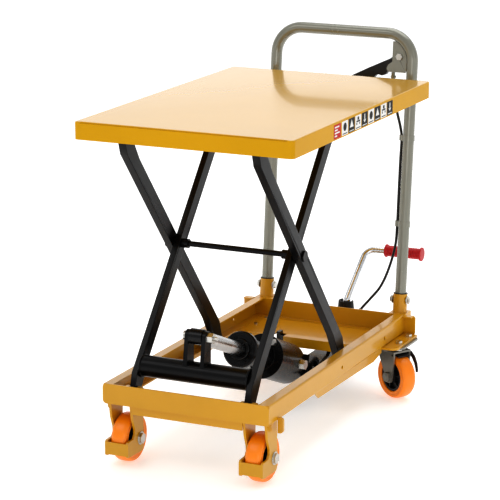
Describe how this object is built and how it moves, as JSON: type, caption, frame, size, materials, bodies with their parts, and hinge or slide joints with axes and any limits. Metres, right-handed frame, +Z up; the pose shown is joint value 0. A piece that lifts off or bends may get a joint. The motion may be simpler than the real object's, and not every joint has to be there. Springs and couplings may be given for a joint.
{
  "type": "scissor lift table truck",
  "caption": "Foot-pumped scissor lift table truck: sheet-metal deck on crossed arms over a wheeled base, with a tubular push handle and a release lever",
  "frame": {"origin": "on the floor, below the middle of the whole truck's plan outline", "axes": "+X to the right seen from the push handle's far side, +Y towards the push handle, +Z up"},
  "size_m": [0.4553, 0.827, 0.763],
  "materials": {
    "frame_paint": "gloss",
    "deck_paint": "gloss",
    "arm_paint": "gloss",
    "handle_paint": "satin",
    "caster_metal": "satin",
    "zinc": "satin",
    "chrome_rod": "polished",
    "pump_black": "gloss",
    "pedal_chrome": "polished",
    "grip_red": "satin",
    "lever_black": "satin",
    "boot_rubber": "matte",
    "cable_black": "satin",
    "tyre_orange": "satin",
    "hub_black": "satin"
  },
  "bodies": {
    "base": {"rail_left": "frame_paint", "rail_right": "frame_paint", "front_plate": "frame_paint", "front_cross_strip": "frame_paint", "rear_tray": "frame_paint", "caster_brackets": "frame_paint", "caster_plates": "caster_metal", "caster_bolts": "zinc", "front_fork_left": "frame_paint", "front_fork_right": "frame_paint", "front_axles": "zinc", "pivot_lugs": "frame_paint", "base_pins": "zinc", "handle_sockets": "frame_paint", "handle_bolts": "zinc", "handle_tube": "handle_paint", "handle_gusset": "handle_paint", "cable_clips": "zinc", "release_cable": "cable_black", "pump_bracket": "pump_black"},
    "inner_arms": {"inner_arm_left": "arm_paint", "inner_arm_right": "arm_paint", "arm_cross_tube": "arm_paint", "ear_pin": "zinc", "centre_pins": "arm_paint", "table_roller_pins": "zinc"},
    "outer_arms": {"outer_arm_left": "arm_paint", "outer_arm_right": "arm_paint", "base_roller_pins": "zinc"},
    "table": {"platform": "deck_paint", "table_channels": "deck_paint", "table_pivots": "arm_paint"},
    "table_roller_l": {"table_roller_left": "zinc"},
    "table_roller_r": {"table_roller_right": "zinc"},
    "base_roller_l": {"base_roller_left": "zinc"},
    "base_roller_r": {"base_roller_right": "zinc"},
    "ram": {"piston_rod": "chrome_rod"},
    "pump": {"cylinder_barrel": "pump_black", "gland_disc": "pump_black", "oil_tank": "pump_black", "pump_block": "pump_black", "pump_fittings": "zinc", "pump_boot": "boot_rubber"},
    "plunger": {"pump_plunger": "zinc"},
    "pedal": {"pedal_tube": "pedal_chrome", "pedal_grip": "grip_red"},
    "lever": {"release_lever": "lever_black"},
    "valve": {"valve_lever": "pump_black"},
    "front_wheel_l": {"front_tyre_left": "tyre_orange", "front_hub_left": "hub_black"},
    "front_wheel_r": {"front_tyre_right": "tyre_orange", "front_hub_right": "hub_black"},
    "caster_l": {"caster_fork_left": "caster_metal"},
    "caster_r": {"caster_fork_right": "caster_metal"},
    "caster_wheel_l": {"caster_tyre_left": "tyre_orange", "caster_hub_left": "hub_black"},
    "caster_wheel_r": {"caster_tyre_right": "tyre_orange", "caster_hub_right": "hub_black"},
    "brake_l": {"brake_pedal_left": "lever_black"},
    "brake_r": {"brake_pedal_right": "lever_black"}
  },
  "joints": [
    {"name": "lift", "type": "hinge", "parent": "base", "child": "inner_arms", "pos_m": [-0.0026, -0.3775, 0.1435], "axis": [1, 0, 0], "range_deg": [-42.6, 14.4]},
    {"name": "scissor_cross", "type": "hinge", "parent": "inner_arms", "child": "outer_arms", "pos_m": [-0.0026, -0.17661, 0.39605], "axis": [1, 0, 0], "range_deg": [-29, 85.4]},
    {"name": "deck_level", "type": "hinge", "parent": "outer_arms", "child": "table", "pos_m": [-0.0026, -0.3775, 0.6486], "axis": [1, 0, 0], "range_deg": [-42.8, 14.6]},
    {"name": "ram_pivot", "type": "hinge", "parent": "inner_arms", "child": "ram", "pos_m": [-0.0026, -0.34546, 0.26197], "axis": [1, 0, 0], "range_deg": [-15.1, 44.2]},
    {"name": "ram_stroke", "type": "slide", "parent": "ram", "child": "pump", "axis": [0, 0.9285, -0.3714], "range_m": [-0.0868, 0.0297]},
    {"name": "pump_pedal", "type": "hinge", "parent": "pump", "child": "pedal", "pos_m": [0.0224, 0.3275, 0.15], "axis": [1, 0, 0], "range_deg": [-45, 0], "stiffness_Nm_per_rad": 4, "springref_deg": 14.32},
    {"name": "plunger_stroke", "type": "slide", "parent": "pump", "child": "plunger", "axis": [0, 0, 1], "range_m": [-0.0048, 0.0001]},
    {"name": "release_squeeze", "type": "hinge", "parent": "base", "child": "lever", "pos_m": [0.1264, 0.36086, 0.70406], "axis": [0, 0.9954, -0.0958], "range_deg": [0, 16], "stiffness_Nm_per_rad": 1, "springref_deg": -20.05},
    {"name": "valve_turn", "type": "hinge", "parent": "pump", "child": "valve", "pos_m": [0.0474, 0.0895, 0.088], "axis": [1, 0, 0], "range_deg": [0, 16]},
    {"name": "table_roller_l_spin", "type": "hinge", "parent": "inner_arms", "child": "table_roller_l", "pos_m": [-0.1396, 0.02427, 0.6486], "axis": [1, 0, 0], "continuous": true},
    {"name": "base_roller_l_spin", "type": "hinge", "parent": "outer_arms", "child": "base_roller_l", "pos_m": [-0.16135, 0.02427, 0.1435], "axis": [1, 0, 0], "continuous": true},
    {"name": "front_wheel_l_spin", "type": "hinge", "parent": "base", "child": "front_wheel_l", "pos_m": [-0.1446, -0.3605, 0.048], "axis": [1, 0, 0], "continuous": true},
    {"name": "caster_l_swivel", "type": "hinge", "parent": "base", "child": "caster_l", "pos_m": [-0.1676, 0.2445, 0.11], "axis": [0, 0, 1], "continuous": true},
    {"name": "caster_l_spin", "type": "hinge", "parent": "caster_l", "child": "caster_wheel_l", "pos_m": [-0.15915, 0.22637, 0.048], "axis": [0.9063, 0.4226, 0], "continuous": true},
    {"name": "brake_l_press", "type": "hinge", "parent": "caster_l", "child": "brake_l", "pos_m": [-0.15365, 0.21459, 0.0974], "axis": [0.9063, 0.4226, 0], "range_deg": [0, 4.5]},
    {"name": "table_roller_r_spin", "type": "hinge", "parent": "inner_arms", "child": "table_roller_r", "pos_m": [0.1344, 0.02427, 0.6486], "axis": [1, 0, 0], "continuous": true},
    {"name": "base_roller_r_spin", "type": "hinge", "parent": "outer_arms", "child": "base_roller_r", "pos_m": [0.15615, 0.02427, 0.1435], "axis": [1, 0, 0], "continuous": true},
    {"name": "front_wheel_r_spin", "type": "hinge", "parent": "base", "child": "front_wheel_r", "pos_m": [0.1394, -0.3605, 0.048], "axis": [1, 0, 0], "continuous": true},
    {"name": "caster_r_swivel", "type": "hinge", "parent": "base", "child": "caster_r", "pos_m": [0.1624, 0.2445, 0.11], "axis": [0, 0, 1], "continuous": true},
    {"name": "caster_r_spin", "type": "hinge", "parent": "caster_r", "child": "caster_wheel_r", "pos_m": [0.17954, 0.2342, 0.048], "axis": [0.515, 0.8572, 0], "continuous": true},
    {"name": "brake_r_press", "type": "hinge", "parent": "caster_r", "child": "brake_r", "pos_m": [0.19069, 0.2275, 0.0974], "axis": [0.515, 0.8572, 0], "range_deg": [0, 4.5]}
  ],
  "couplings": [
    {"joint": "scissor_cross", "follows": "lift", "ratio": -2},
    {"joint": "deck_level", "follows": "lift", "ratio": 1},
    {"joint": "ram_pivot", "follows": "lift", "ratio": -1.0348},
    {"joint": "ram_stroke", "follows": "lift", "m_per_rad": 0.11608},
    {"joint": "plunger_stroke", "follows": "pump_pedal", "m_per_rad": 0.006},
    {"joint": "valve_turn", "follows": "release_squeeze", "ratio": 1}
  ]
}
